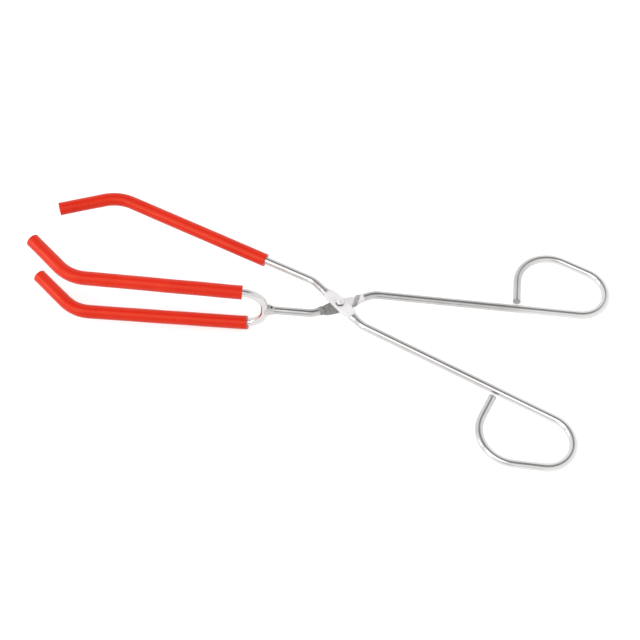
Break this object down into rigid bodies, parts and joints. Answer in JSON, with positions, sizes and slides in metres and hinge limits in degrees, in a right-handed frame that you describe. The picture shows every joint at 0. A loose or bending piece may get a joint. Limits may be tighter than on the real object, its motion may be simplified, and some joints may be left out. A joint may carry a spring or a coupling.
{
  "type": "beaker tongs",
  "caption": "Scissor-action wire tongs for lifting beakers: crossed arms on one rivet, open finger loops, a single tine closing between a forked pair, all tines in soft red sleeves.",
  "frame": {"origin": "on the rivet's axis, halfway between the two pressed plates of the half lap", "axes": "+Z along the rivet towards its domed head, square to the plane the arms work in; +X midway between the two handles, towards the finger loops; the jaws point along -X; the fork arm's handle is on the +Y side"},
  "size_m": [0.2905, 0.1301, 0.0378],
  "materials": {
    "bright_wire": "bright nickel-plated steel wire, polished",
    "weld_metal": "plated weld fillet, duller than the wire",
    "rivet_metal": "bright plated rivet, polished dome",
    "red_sleeve": "soft glossy red vinyl tube"
  },
  "bodies": {
    "fork_arm": {"arm_fork": "bright_wire", "fork_bow": "bright_wire", "fork_weld": "weld_metal", "sleeve_fork_upper": "red_sleeve", "sleeve_fork_lower": "red_sleeve", "pivot_rivet": "rivet_metal"},
    "single_arm": {"arm_single": "bright_wire", "sleeve_single": "red_sleeve"}
  },
  "joints": [
    {"name": "tongs_pivot", "type": "hinge", "parent": "fork_arm", "child": "single_arm", "pos_m": [0, 0, 0], "axis": [0, 0, 1], "range_deg": [-78, 28]}
  ]
}
